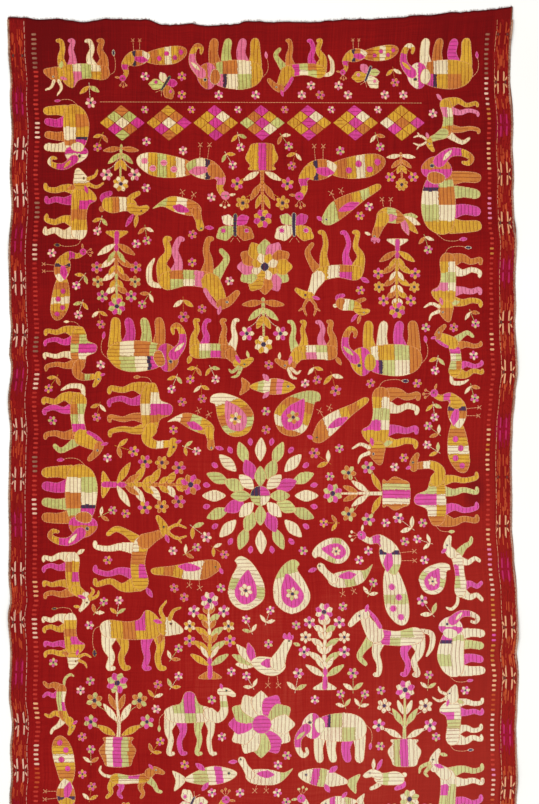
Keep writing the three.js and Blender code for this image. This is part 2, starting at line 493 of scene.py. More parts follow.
def horse():
    body = [(-66, 78), (-72, 98), (-54, 112), (-14, 103), (22, 107), (46, 114), (54, 94), (40, 76),
            (0, 70), (-36, 70)]
    return [
        tuft(58, 146, 20, 9, 105),
        eye(72, 138, 3),
        stem([(60, 142), (76, 136), (94, 118)], "b", (23, 18, 12)),
        part(limb([(26, 112), (38, 134), (52, 150)], (9, 9, 6)), "c", run="x", edge="p"),
        stem([(38, 96), (54, 120), (62, 140)], "a", (42, 28, 19)),
        part(smooth(body), (-48, "a"), (-20, "d"), (4, "e"), (24, "c"), (99, "a"), under=(88, "abdcb")),
        leg([(-56, 88), (-66, 56), (-52, 32), (-58, 5), (-50, 3)], "a", (34, 17, 12, 11, 9)),
        leg([(-38, 80), (-30, 54), (-38, 28), (-30, 5), (-22, 4)], "c", (24, 14, 11, 10, 8)),
        leg([(28, 84), (34, 52), (28, 28), (32, 5), (40, 3)], "b", (26, 15, 11, 10, 8)),
        leg([(44, 88), (62, 64), (72, 44), (60, 28)], "d", (24, 14, 11, 9)),
        stem([(-68, 104), (-90, 96), (-92, 66), (-82, 46)], "e", (9, 13, 12, 5)),
    ]


def bull():
    body = [(-70, 72), (-76, 94), (-58, 106), (-18, 102), (8, 108), (20, 126), (36, 122), (50, 106),
            (54, 84), (40, 68), (0, 64), (-40, 66)]
    return [
        stem([(60, 108), (52, 128), (62, 146)], "e", (9, 7, 4)),
        stem([(72, 108), (80, 126), (94, 132)], "e", (9, 7, 4)),
        tuft(56, 100, 20, 9, 165),
        eye(74, 98, 3),
        part(smooth([(46, 82), (48, 104), (62, 112), (78, 106), (98, 88), (96, 78), (76, 74), (60, 72)]),
             (62, "a"), (200, "b")),
        part(smooth(body), (-54, "b"), (-28, "a"), (-2, "d"), (20, "c"), (99, "a"), under=(84, "bedea")),
        leaf("d", 54, 82, 28, 13, -105),
        leg([(-56, 80), (-64, 50), (-54, 28), (-60, 5), (-50, 3)], "b", (32, 17, 12, 11, 8)),
        leg([(-34, 74), (-26, 48), (-34, 26), (-28, 5), (-18, 4)], "e", (24, 14, 11, 10, 8)),
        leg([(22, 74), (18, 48), (22, 26), (16, 5), (26, 3)], "c", (24, 14, 11, 10, 8)),
        leg([(44, 80), (50, 50), (44, 26), (48, 5), (58, 3)], "a", (24, 14, 11, 10, 8)),
        line([(-74, 94), (-90, 84), (-94, 56), (-90, 40)], "o"),
        part(petal(-91, 44, 18, 8, -86), "n", edge="e"),
    ]


def deer():
    body = [(-54, 76), (-58, 94), (-42, 104), (-8, 98), (22, 104), (38, 112), (44, 94), (34, 78),
            (0, 72), (-28, 72)]
    return [
        stem([(50, 144), (40, 160), (44, 178)], "e", (6, 5, 3)),
        stem([(43, 160), (32, 168)], "e", (4, 3)),
        stem([(58, 144), (66, 160), (60, 178)], "e", (6, 5, 3)),
        stem([(64, 160), (76, 168)], "e", (4, 3)),
        tuft(48, 138, 18, 8, 160),
        eye(62, 135, 2.6),
        stem([(52, 138), (66, 133), (80, 124)], "a", (19, 15, 9)),
        part(limb([(34, 98), (44, 118), (52, 136)], (30, 18, 14)), (200, "d"), by="y", run="x"),
        part(smooth(body), (-36, "a"), (-10, "c"), (14, "d"), (99, "a"), under=(86, "aedb")),
        leg([(-46, 84), (-54, 54), (-42, 32), (-48, 5), (-40, 3)], "a", (26, 13, 9, 8, 7)),
        leg([(-30, 78), (-22, 52), (-28, 28), (-22, 5), (-14, 4)], "c", (18, 11, 8, 8, 6)),
        leg([(20, 82), (24, 52), (20, 28), (24, 5), (32, 3)], "b", (20, 12, 9, 8, 7)),
        leg([(34, 86), (50, 64), (58, 44), (48, 28)], "e", (18, 11, 9, 7)),
        tuft(-54, 98, 22, 10, 150),
    ]


def goat():
    body = [(-56, 62), (-60, 82), (-44, 92), (-8, 90), (24, 92), (40, 96), (46, 78), (34, 62),
            (0, 58), (-32, 58)]
    return [
        stem([(50, 112), (36, 124), (28, 118)], "e", (8, 7, 4)),
        stem([(56, 114), (48, 132), (36, 136)], "e", (8, 7, 4)),
        tuft(54, 104, 22, 9, -110),
        eye(64, 106, 2.6),
        leaf("e", 76, 92, 18, 8, -100),
        part(limb([(48, 104), (64, 104), (82, 94)], (22, 18, 11)), "b", run="y"),
        stem([(34, 82), (46, 98), (52, 106)], "a", (28, 20, 16)),
        part(smooth(body), (-38, "b"), (-12, "e"), (12, "c"), (99, "a"), under=(74, "bdea")),
        leg([(-46, 70), (-52, 44), (-44, 24), (-48, 5), (-40, 3)], "b", (26, 13, 10, 9, 7)),
        leg([(-28, 64), (-22, 42), (-28, 22), (-22, 5), (-14, 4)], "c", (18, 12, 9, 8, 7)),
        leg([(18, 66), (16, 42), (20, 22), (14, 5), (22, 3)], "a", (20, 12, 9, 8, 7)),
        leg([(36, 70), (44, 44), (40, 22), (44, 5), (52, 3)], "d", (20, 12, 9, 8, 7)),
        leaf("b", -56, 84, 24, 11, 120),
    ]


def camel():
    body = [(-58, 84), (-64, 104), (-44, 116), (-24, 122), (-12, 148), (8, 146), (20, 120), (42, 112),
            (52, 96), (42, 80), (0, 76), (-36, 76)]
    return [
        eye(84, 152, 3),
        tuft(74, 156, 14, 8, 110),
        part(limb([(72, 150), (86, 150), (102, 142)], (20, 17, 11)), "a", run="y"),
        part(limb([(42, 98), (62, 88), (78, 106), (76, 146)], (30, 24, 19, 15)),
             (112, "b"), (128, "d"), (200, "a"), by="y", run="x"),
        part(smooth(body), (-42, "a"), (-16, "d"), (10, "c"), (28, "e"), (99, "b"), under=(98, "abdbb")),
        leg([(-48, 90), (-56, 58), (-48, 34), (-52, 5), (-42, 3)], "a", (30, 15, 11, 10, 8)),
        leg([(-28, 84), (-20, 56), (-28, 32), (-22, 5), (-12, 4)], "c", (22, 13, 10, 9, 7)),
        leg([(18, 86), (14, 58), (20, 34), (14, 5), (24, 3)], "e", (22, 13, 10, 9, 7)),
        leg([(40, 90), (46, 58), (42, 34), (48, 5), (58, 3)], "b", (24, 13, 10, 9, 7)),
        line([(-62, 100), (-76, 88), (-78, 66)], "o"),
        leaf("e", -78, 70, 16, 8, -88),
    ]


def hound():
    body = [(-58, 48), (-62, 62), (-46, 72), (-8, 66), (24, 70), (44, 76), (50, 60), (36, 46),
            (4, 44), (-30, 42)]
    return [
        tuft(58, 84, 18, 9, 130),
        eye(66, 82, 2.6),
        part(limb([(46, 72), (62, 82), (86, 74)], (26, 20, 11)), "b", run="y"),
        part(smooth(body), (-40, "a"), (-10, "d"), (18, "c"), (99, "b"), under=(57, "aeea")),
        leg([(-50, 54), (-62, 34), (-56, 18), (-68, 5)], "a", (22, 12, 9, 8)),
        leg([(-36, 50), (-28, 32), (-36, 16), (-26, 4)], "c", (18, 11, 8, 7)),
        leg([(28, 52), (24, 32), (34, 16), (28, 4)], "b", (18, 11, 8, 7)),
        leg([(44, 56), (62, 40), (72, 24), (84, 20)], "d", (18, 11, 8, 7)),
        stem([(-58, 64), (-78, 66), (-92, 80), (-88, 92)], "e", (7, 8, 7, 5)),
    ]


def hare():
    return [
        tuft(24, 46, 30, 9, 118),
        leaf("b", 32, 46, 28, 9, 96),
        eye(40, 40, 2.2),
        part(limb([(20, 34), (34, 40), (50, 34)], (20, 19, 12)), "a", run="y"),
        part(smooth([(-36, 16), (-38, 34), (-20, 44), (6, 40), (26, 40), (30, 24), (16, 14), (-12, 12)]),
             (-18, "b"), (-4, "e"), (10, "d"), (99, "a")),
        leg([(-26, 22), (-38, 12), (-22, 4)], "c", (18, 10, 8)),
        leg([(14, 20), (24, 10), (36, 4)], "b", (12, 9, 7)),
        part(disc(-40, 36, 6, 10), "e"),
    ]


def bird_foot(x, y, lean=4):
    """A thin leg down to y = 0 with a small cross for its claws."""
    foot = x + lean
    paths = ([(x, y), (foot, 3)], [(foot - 5, -2), (foot + 5, 8)], [(foot - 5, 8), (foot + 5, -2)])
    return [line(path, "o", straight=True) for path in paths]


def peacock():
    motif = [
        leaf("e", 70, 112, 15, 6, -8),
        eye(63, 114, 2.4),
        part(disc(62, 113, 9.5, 12), "c", edge="p"),
        part(limb([(38, 58), (54, 76), (50, 96), (58, 112)], (30, 19, 13, 12)),
             (74, "b"), (90, "c"), (200, "a"), by="y", run="x"),
        wing(-16, 62, 46, 20, -8, 0.4),
        part(smooth([(-22, 46), (-8, 68), (22, 78), (44, 72), (50, 54), (36, 38), (6, 32)]),
             (0, "d"), (20, "e"), (30, "n"), (99, "b")),
    ]
    for x, y in ((-112, 38), (-94, 54), (-70, 42), (-48, 56)):
        motif.insert(0, part(disc(x, y, 7.5, 10), "c", edge="e"))
    motif.append(part(smooth([(-8, 64), (-46, 74), (-94, 70), (-124, 50), (-128, 30), (-104, 20), (-56, 26),
                              (-10, 42)]),
                      (-104, "e"), (-84, "a"), (-64, "d"), (-44, "a"), (-24, "e"), (99, "b")))
    motif += bird_foot(8, 38, 0) + bird_foot(24, 42)
    for x, top in ((52, 132), (60, 136), (69, 132)):
        motif.append(line([(62, 120), (x, top)], "o", straight=True))
        motif.append(part(disc(x, top + 2, 3.2), "e"))
    return motif


def parrot():
    return [
        tuft(58, 50, 13, 8, -50),
        eye(50, 50, 2.4),
        wing(-20, 34, 44, 16, 8, 0.45),
        part(smooth([(-66, 18), (-30, 32), (0, 46), (28, 58), (48, 62), (60, 52), (52, 38), (34, 22),
                     (4, 14), (-34, 12), (-62, 8)]),
             (-44, "a"), (-26, "d"), (-8, "a"), (26, "b"), (99, "d")),
    ] + bird_foot(8, 18, 0) + bird_foot(24, 20)


def duck():
    return [
        tuft(52, 60, 18, 8, -6),
        eye(46, 64, 2.2),
        part(limb([(28, 34), (38, 50), (44, 62)], (18, 12, 15)), (48, "a"), (200, "b"), by="y", run="x"),
        wing(-18, 34, 34, 15, 4, 0.4),
        part(smooth([(-54, 46), (-36, 38), (-8, 44), (22, 44), (38, 34), (30, 20), (4, 14), (-28, 18)]),
             (-30, "e"), (-12, "b"), (8, "d"), (99, "a")),
    ] + bird_foot(-2, 18, -2) + bird_foot(14, 20)


def cock():
    motif = [
        leaf("e", 50, 84, 15, 7, -18),
        eye(42, 88, 2.4),
        part(smooth([(30, 94), (34, 104), (38, 97), (43, 106), (46, 97), (50, 100), (48, 90)], steps=3),
             "c", edge="p"),
        part(limb([(20, 46), (30, 66), (40, 86)], (30, 20, 17)), (66, "a"), (200, "b"), by="y", run="x"),
        wing(-12, 44, 34, 17, 6, 0.4),
        part(smooth([(-30, 46), (-16, 58), (12, 56), (32, 52), (34, 36), (16, 22), (-10, 26)]),
             (-10, "b"), (10, "d"), (99, "a")),
    ]
    for turn, length, colour in ((108, 46, "c"), (132, 54, "a"), (156, 48, "e"), (178, 38, "d")):
        motif.append(leaf(colour, -22, 42, length, 16, turn, 0.6))
    return motif + bird_foot(4, 26, -2) + bird_foot(18, 26)


def fish():
    return [
        eye(44, 24, 2.8),
        wing(0, 36, 22, 11, 135),
        wing(4, 12, 20, 10, -135),
        part(smooth([(-42, 24), (-18, 36), (14, 42), (44, 34), (60, 22), (44, 10), (14, 6), (-18, 12)]),
             (-24, "a"), (-10, "d"), (4, "e"), (18, "b"), (32, "c"), (99, "a")),
        part(smooth([(-38, 24), (-62, 44), (-58, 24), (-62, 4)], steps=4), "b", run="x"),
    ]


def rosette(x, y, radius, petals, colours, turn=0.0, centre="n"):
    """A flower head: petals round a centre, their colours taken in turn."""
    motif = [part(disc(x, y, radius * 0.3, 10), centre, edge="e")]
    start, wide = radius * 0.22, radius * min(0.62, 2.3 * math.sin(math.pi / petals))
    for i in range(petals):
        a = turn + 360 * i / petals
        cos, sin = math.cos(math.radians(a)), math.sin(math.radians(a))
        colour = colours[i % len(colours)]
        motif.append(part(petal(x + start * cos, y + start * sin, radius * 0.8, wide, a, 0.62), colour,
                          run="x" if abs(cos) > 0.7 else "y", edge=edge_of(colour)))
    return motif


def bush():
    motif = rosette(0, 92, 19, 8, "ea", 22) + rosette(-34, 70, 15, 6, "ce") + rosette(34, 70, 15, 6, "ce")
    for y, length, lean, colour in ((18, 40, 50, "d"), (34, 30, 28, "a"), (6, 44, 82, "b")):
        motif += [leaf(colour, 0, y, length, 13, 90 + lean), leaf(colour, 0, y, length, 13, 90 - lean)]
    motif.append(stem([(0, 0), (0, 40), (0, 80)], "d", (7, 5, 4)))
    return motif + [line([(0, 22), (side * 16, 48), (side * 32, 58)], "e") for side in (-1, 1)]


def tree():
    motif = rosette(0, 178, 21, 8, "ec", 22)
    branches = ((60, 46, "ca"), (94, 44, "ae"), (128, 34, "ec"))
    for y, reach, colours in branches:
        for side in (-1, 1):
            motif += rosette(side * reach, y + 26, 14, 6, colours, 30)
    for y, length in ((30, 50), (64, 42), (98, 36), (132, 28)):
        for side in (-1, 1):
            motif.append(leaf("a" if side < 0 else "d", side * 2, y, length, 15, 90 - side * 58))
            motif.append(leaf("b" if y > 60 else "e", side * 2, y + 16, length * 0.7, 11, 90 - side * 34))
    motif.append(part(limb([(0, 4), (0, 90), (0, 160)], (12, 8, 5)),
                      (50, "c"), (100, "a"), (400, "e"), by="y", run="x"))
    motif.append(part(smooth([(-26, 0), (-14, 12), (0, 18), (14, 12), (26, 0)], steps=4), "b", run="x"))
    for y, reach, colours in branches:
        for side in (-1, 1):
            motif.append(line([(0, y - 6), (side * reach * 0.5, y + 16), (side * reach, y + 20)], "e"))
    return motif


def pot_plant():
    pot = [(-22, 0), (22, 0), (30, 14), (38, 34), (26, 50), (30, 60), (-30, 60), (-26, 50), (-38, 34),
           (-30, 14)]
    motif = [part(smooth(pot, steps=3), (-24, "a"), (-10, "d"), (8, "c"), (22, "e"), (99, "a"), run="y")]
    motif += rosette(0, 172, 22, 8, "ce", 22)
    for x, y, radius, colours in ((46, 136, 17, "ae"), (58, 92, 15, "ce")):
        motif += rosette(-x, y, radius, 6, colours, 22) + rosette(x, y, radius, 6, colours, 22)
    for side in (-1, 1):
        motif.append(leaf("d", side * 3, 92, 46, 14, 90 - side * 34))
        motif.append(leaf("a", side * 3, 116, 36, 12, 90 - side * 22))
        motif.append(leaf("b", side * 6, 64, 44, 14, 90 - side * 62))
        motif.append(line([(0, 84), (side * 22, 112), (side * 42, 126)], "e"))
        motif.append(line([(0, 62), (side * 30, 74), (side * 52, 84)], "e"))
    motif.append(stem([(0, 60), (0, 110), (0, 156)], "d", (8, 6, 4)))
    return motif


def sprig():
    return rosette(0, 44, 12, 6, "ce") + [
        leaf("a", 0, 8, 26, 10, 146),
        leaf("d", 0, 8, 26, 10, 34),
        line([(0, 0), (0, 34)], "e", straight=True),
    ]


def paisley():
    return rosette(2, 36, 13, 6, "ea") + [
        part(smooth([(-20, 30), (-14, 52), (-2, 66), (10, 74), (22, 30), (8, 12), (-8, 12)], steps=4),
             "c", edge="p"),
        part(smooth([(-34, 28), (-30, 54), (-16, 74), (8, 92), (30, 96), (38, 84), (30, 76), (34, 50),
                     (32, 20), (14, 2), (-14, 2)]),
             (12, "a"), (30, "d"), (52, "b"), (72, "a"), (200, "e"), by="y", run="y"),
    ]


def butterfly():
    motif = [part(limb([(0, 8), (0, 50)], (8, 6)), "n", run="x", edge="e")]
    for side in (-1, 1):
        motif.append(part(disc(side * 24, 40, 5.5), "c", edge="e"))
        motif.append(part(petal(0, 34, 44, 30, 90 - side * 62, 0.65), "a" if side < 0 else "e"))
        motif.append(part(petal(0, 26, 32, 22, 90 - side * 118, 0.65), "c" if side < 0 else "d", edge="p"))
        motif.append(line([(0, 50), (side * 10, 64)], "o", straight=True))
    return motif


def lozenge():
    """A diamond parted into three by three smaller ones, as in a traditional bagh."""
    width, height, gap = 118, 94, 0.7
    order = ("cae", "dca", "ebc") if rng.random() < 0.5 else ("ecb", "ade", "cea")
    motif = []
    for i in range(3):
        for j in range(3):
            cx = (i - j) * width / 6
            cy = (i + j - 2) * height / 6 + height / 2
            w, h = width / 6 - gap, height / 6 - gap
            diamond = np.array([(cx - w, cy), (cx, cy - h), (cx + w, cy), (cx, cy + h)])
            motif.append(part(diamond, order[i][j], run="x" if (i + j) % 2 else "y", edge=None))
    return motif


def lotus():
    """A round lotus of three rings of petals and a ring of tips about a parted centre."""
    radius = 165
    motif = []
    for i in range(4):
        a = [math.radians(90 * i + t) for t in (0, 30, 60, 90)]
        wedge = [(0, 0)] + [(0.17 * radius * math.cos(t), 0.17 * radius * math.sin(t)) for t in a]
        motif.append(part(np.array(wedge), "cnea"[i], run="x" if i % 2 else "y", edge="e"))
    rings = ((8, 0.16, 0.34, 0.20, ("e", "a"), 0), (8, 0.30, 0.36, 0.22, ("c", "d"), 22.5),
             (16, 0.58, 0.40, 0.19, ("a", "e", "b", "d"), 0))
    for count, start, length, wide, colours, offset in rings:
        for i in range(count):
            t = math.radians(360 * i / count + offset)
            x, y = start * radius * math.cos(t), start * radius * math.sin(t)
            colour = colours[i % len(colours)]
            motif.append(part(petal(x, y, length * radius, wide * radius, math.degrees(t)), colour,
                              run="y" if abs(math.cos(t)) > 0.7 else "x", edge=edge_of(colour)))
    for i in range(16):
        t = math.radians(360 * (i + 0.5) / 16)
        x, y = 0.86 * radius * math.cos(t), 0.86 * radius * math.sin(t)
        motif.append(tuft(x, y, 0.13 * radius, 0.09 * radius, math.degrees(t)))
    return motif


# The field: a garden of plants, animals and birds, laid out in rings and rows round a lotus

OUTLINES = {"n": "indigo", "o": "peach", "p": "pink"}
WARM = ("gold orange magenta green cream", "orange gold magenta cream green",
        "gold gold magenta cream orange", "gold orange pink green cream", "gold cream magenta orange gold")
PALE = ("cream cream magenta green cream", "cream green magenta cream cream",
        "cream cream magenta green green", "cream cream magenta cream green")


def silks(x, y):
    """Which silks a motif takes: golds above and to the left, creams low and to the right."""
    paleness = min(1, max(0, (60 - y) / 240)) * min(1, max(0, (x + 280) / 280))
    sets = PALE if rng.random() < paleness * 1.15 else WARM
    a, b, c, d, e = sets[rng.integers(len(sets))].split()
    return dict(a=a, b=b, c=c, d=d, e=e, **OUTLINES)


def small_lotus():
    return rosette(0, 0, 84, 12, "aecd", 0, "c") + rosette(0, 0, 40, 8, "ea", 22)


def sunflower():
    return rosette(0, 0, 30, 8, "ea", 22) + rosette(0, 0, 58, 12, "abcd", 0, "e")


def small_star():
    return rosette(0, 0, 13, 6, "ce")


def cord():
    return [line([(-TORAN_HALF, 0), (TORAN_HALF, -3)], "o", straight=True)]


# The outer ring stands on the field's edge with its feet out: each motif and its x
TOP_RING = ((bull, -474), (peacock, -285), (elephant, -92), (horse, 96), (peacock, 292), (elephant, 480))
LOW_RING = ((elephant, -476), (peacock, -286), (camel, -96), (bull, 94), (peacock, 286), (horse, 476))
RING_FEET, RING_ENDS = 566.0, 1180.0
ROOM = np.array([RING_FEET, RING_ENDS])
SIDE_STEP = 190.0
LEFT_RING = (elephant, bull, peacock, camel, horse, elephant, goat, bull, hound, peacock, elephant)
RIGHT_RING = (deer, elephant, bull, horse, peacock, camel, hound, elephant, bull, goat, horse)
# The inner field: motif, x, y, turn, flip; x, y is where its feet or roots are
FIELD = (
    (pot_plant, 0, 892, 180, 1), (peacock, -178, 890, 180, -1), (peacock, 178, 890, 180, 1),
    (bush, -352, 890, 180, 1), (bush, 352, 890, 180, 1),
    (hare, -352, 748, 180, -1), (duck, -212, 738, 168, -1), (butterfly, -96, 722, 180, 1),
    (butterfly, 96, 722, 180, 1), (parrot, 214, 738, 194, 1), (cock, 352, 764, 180, 1),
    (tree, -352, 652, 180, 1), (horse, -190, 656, 180, -1), (sunflower, 0, 590, 0, 1),
    (deer, 190, 656, 180, 1), (tree, 352, 652, 180, 1),
    (elephant, -300, 446, 180, -1), (goat, -118, 462, 180, -1), (bush, 6, 496, 180, 1),
    (goat, 124, 462, 180, 1), (elephant, 300, 446, 180, 1),
    (paisley, -84, 196, 20, -1), (paisley, 84, 196, -20, 1), (fish, 0, 270, 0, 1),
    (camel, -398, 214, -90, 1), (tree, -398, 30, -90, 1), (deer, -398, -150, -90, -1),
    (bull, 398, 214, 90, -1), (pot_plant, 398, 22, 90, 1), (peacock, 398, -158, 90, 1),
    (duck, -182, 236, 160, -1), (parrot, 190, 250, 200, 1),
    (parrot, -196, -244, -14, 1), (duck, 190, -256, 12, -1),
    (paisley, -84, -284, -20, -1), (paisley, 84, -284, 20, 1),
    (bull, -304, -450, 0, 1), (tree, -132, -478, 0, 1), (cock, 0, -452, 0, 1),
    (tree, 132, -478, 0, 1), (horse, 302, -462, 0, -1),
    (pot_plant, -348, -668, 0, 1), (camel, -184, -664, 0, 1), (small_lotus, 4, -588, 0, 1),
    (elephant, 192, -652, 0, -1), (pot_plant, 352, -668, 0, 1),
    (hound, -306, -782, 0, 1), (fish, -150, -742, 8, 1), (duck, 0, -762, 0, -1),
    (fish, 140, -742, -10, -1), (hare, 330, -770, 0, -1),
    (bush, -352, -906, 0, 1), (peacock, -172, -926, 0, 1), (tree, 0, -968, 0, 1),
    (peacock, 172, -926, 0, -1), (bush, 352, -906, 0, 1),
)
TORAN_Y, TORAN_STEP, TORAN_HALF = 962.0, 121.0, 418.0
TORAN_CORD, TORAN_STARS, TORAN_DROP = 54, 34, 47    # off the lozenges' line
GAP = 9.0
FILLERS = (parrot, duck, fish, cock, hare, paisley, butterfly, sprig)
FILLER_STEP = 24.0


class Placed:
    """A motif with its place, and points round its parts to keep the others clear of.

    slide is the share of a push that moves it each way, or None where it moves freely, and most is how
    much it may grow.
    """

    def __init__(self, motif, x, y, turn=0, flip=1, size=1.0, slide=None, most=1.35):
        self.parts = motif()
        self.at, self.turn = np.array([x, y], float), math.radians(turn)
        self.flip, self.size, self.most, self.slide = flip, size, most * size, slide
        lines = [p["path"] if "path" in p else np.vstack([p["outline"], p["outline"][:1]])
                 for p in self.parts]
        self.own = np.vstack([evenly(path, 10.0) for path in lines])
        self.middle = (self.own.max(0) + self.own.min(0)) / 2
        self.set_down()

    def place(self):
        return self.at, self.turn, self.size, self.flip

    def set_down(self):
        self.points = placed(self.own, self.place())
        self.box = np.array([self.points.min(0), self.points.max(0)])

    def resize(self, size):
        """Grows or shrinks about its feet in the ring, and about its middle elsewhere."""
        size = min(size, self.most)
        if self.slide is None:
            here = self.flip * self.middle[0], self.middle[1]
            cos, sin = math.cos(self.turn), math.sin(self.turn)
            middle = np.array([cos * here[0] - sin * here[1], sin * here[0] + cos * here[1]])
            self.at = self.at + middle * (self.size - size)
        self.size = size
        self.set_down()

    def near(self, others, reach):
        """The other motifs' points within a reach of this one's box."""
        low, high = self.box[0] - reach, self.box[1] + reach
        found = [o.points for o in others
                 if o is not self and np.all(o.box[0] < high) and np.all(o.box[1] > low)]
        points = np.vstack(found) if found else np.empty((0, 2))
        return points[np.all((points > low) & (points < high), axis=1)]

    def apart(self, points):
        away = self.points[:, None] - points[None]
        return away, np.maximum(np.linalg.norm(away, axis=2), 1e-6)


def settle(items, rounds=30, reach=26.0):
    """Moves and grows the motifs bit by bit until each is as large as its neighbours let it be."""
    for step in range(rounds):
        for item in items:
            if item.most <= item.size and item.slide == (0, 0):
                continue
            points = item.near(items, reach)
            closest = 99.0
            if len(points):
                away, far = item.apart(points)
                closest = far.min()
                weight = np.maximum(reach - far, 0) ** 2 / far
                push = (away * weight[..., None]).sum((0, 1)) / max(weight.sum(), 1e-6)
                push *= min(1.0, 3.0 / max(np.linalg.norm(push), 1e-6))
                if item.slide is not None:
                    push = push * item.slide
                item.at = item.at + push * (1 - step / rounds)
            item.set_down()
            item.at = item.at - np.maximum(item.box[1] - ROOM, 0) + np.maximum(-ROOM - item.box[0], 0)
            item.resize(item.size * (1.025 if closest > GAP * 1.1 else 0.985 if closest < GAP else 1.0))


def garden():
    """The whole field: ring, toran, lotus and rows, and then birds and sprigs between them."""
    items = []
    for end, turn, ring in ((1, 180, TOP_RING), (-1, 0, LOW_RING)):
        for motif, x in ring:
            flip = rng.choice((-1, 1))
            items.append(Placed(motif, x, end * RING_ENDS, turn, flip, 0.97, slide=(1, 0), most=1.12))
    for side, ring in ((-1, LEFT_RING), (1, RIGHT_RING)):
        for i, motif in enumerate(ring):
            flip = 1 if rng.random() < 0.7 else -1
            y = (len(ring) // 2 - i) * SIDE_STEP
            items.append(Placed(motif, side * RING_FEET, y, side * 90, flip, 0.85, slide=(0, 1), most=1.5))
    fixed = {"slide": (0, 0), "most": 1.0}
    for end in (1, -1):
        items.append(Placed(cord, 0, end * (TORAN_Y + TORAN_CORD), **fixed))
        for i in range(7):
            x = (i - 3) * TORAN_STEP
            items.append(Placed(lozenge, x, end * TORAN_Y - TORAN_DROP, **fixed))
            if i < 6:
                items.append(Placed(small_star, x + TORAN_STEP / 2, end * (TORAN_Y + TORAN_STARS), size=0.75,
                                    **fixed))
    items.append(Placed(lotus, 0, 0, size=0.93, **fixed))
    items += [Placed(motif, x, y, turn, flip, 0.9, most=1.5) for motif, x, y, turn, flip in FIELD]
    settle(items)
    spots = [(x, y) for y in np.arange(-1150, 1151, FILLER_STEP) for x in np.arange(-540, 541, FILLER_STEP)]
    rng.shuffle(spots)
    for x, y in spots:
        place_filler(items, x, y, 22.0, FILLERS[rng.integers(4):], (1.2, 0.95))
    for x, y in spots[::2]:
        place_filler(items, x, y, 15.0, (small_star,), (0.9,))
    return items


def place_filler(items, x, y, least, motifs, sizes):
    """Sets one small motif at a spot, the largest of a few that fits there."""
    crowd = [o for o in items if np.all(o.box[0] < (x + 90, y + 90)) and np.all(o.box[1] > (x - 90, y - 90))]
    if crowd and np.min(np.linalg.norm(np.vstack([o.points for o in crowd]) - [x, y], axis=1)) < least:
        return
    here = np.array([[x, y]])
    for other in crowd:
        outlines = (placed(p["outline"], other.place()) for p in other.parts if "outline" in p)
        if any(inside(here, outline)[0] for outline in outlines):
            return
    base = 180 if y > 200 else 0 if y < -200 else (-90 if x < 0 else 90)
    for motif in motifs:
        for size in sizes:
            turn = base + rng.uniform(-38, 38)
            filler = Placed(motif, x, y, turn, rng.choice((-1, 1)), size)
            filler.at = filler.at + here[0] - filler.box.mean(0)
            filler.set_down()
            points = filler.near(crowd, GAP)
            if not len(points) or filler.apart(points)[1].min() > GAP:
                if np.all(np.abs(filler.box) < ROOM):
                    items.append(filler)
                    return


# The borders along the selvedges

# Bow marks, patches of magenta and strokes of rust, as distance down from the top end
LEFT_BOWS = (335, 454, 681, 815, 1058, 1187, 1429, 1556, 1819, 1938, 2182, 2300)
RIGHT_BOWS = (163, 400, 526, 782, 911, 1308, 1569, 1700, 1984, 2105, 2348)
LEFT_FAINT = (95,)
RIGHT_FAINT = (40, 1182)
LEFT_PATCHES = (217, 570, 931, 1305, 1685, 2060, 2408)
RIGHT_PATCHES = (273, 650, 1058, 1419, 1847, 2226)
# The ladder's colours, as distance down to where each begins and its thread
LEFT_LADDER = (
    (40, "tan"), (128, "red"), (268, "blush"), (317, "red"), (470, "tan"), (520, "red"), (574, "blush"),
    (624, "red"), (815, "tan"), (864, "red"), (906, "blush"), (956, "red"), (1120, "tan"), (1170, "red"),
    (1234, "blush"), (1284, "red"), (1452, "peach"), (1500, "red"), (1548, "blush"), (1598, "red"),
    (1760, "peach"), (1810, "red"), (1866, "blush"), (1930, "rust"), (1990, "red"), (2086, "peach"),
    (2135, "red"), (2196, "blush"), (2245, "red"), (2380, "peach"),
)
RIGHT_LADDER = (
    (40, "tan"), (147, "blush"), (225, "orange"), (262, "red"), (320, "peach"), (396, "red"),
    (462, "pink"), (524, "red"), (585, "orange"), (612, "red"), (803, "peach"), (858, "red"),
    (1048, "peach"), (1090, "orange"), (1120, "peach"), (1165, "red"), (1310, "peach"), (1366, "pink"),
    (1420, "blush"), (1490, "orange"), (1546, "peach"), (1584, "magenta"), (1614, "orange"),
    (1660, "peach"), (1736, "rust"), (1794, "blush"), (1886, "red"), (1932, "pink"), (1960, "blush"),
    (2010, "rust"), (2080, "peach"), (2150, "red"), (2220, "blush"), (2290, "orange"), (2350, "red"),
)
# A bow's two columns from the selvedge, and how far its uprights reach from its middle
BOW_COLUMNS = (15.7, 31.0)
BOW_REACH = 30.0


def selvedge_x(side, inward):
    """x of a place a distance in from the left or the right selvedge."""
    return side * (WIDE / 2 - inward)


def upright_line(side, inward, start, end, thread, wide, high, tone):
    """One stitch up the cloth, from a distance down to another."""
    x = selvedge_x(side, inward)
    stitch(thread, (x, LONG / 2 - start), (x, LONG / 2 - end), wide, high, tone)


def uprights(side, down, thread, high, shade=0.0):
    """Two columns of long upright stitches, parted at the middle."""
    for inward in BOW_COLUMNS:
        for way in (-1, 1):
            for strand in (-1.0, 0.9):
                far = down + way * (BOW_REACH + rng.uniform(-4, 3))
                near = down + way * 3.0
                upright_line(side, inward + strand, min(near, far), max(near, far), thread, 2.3, high, shade)


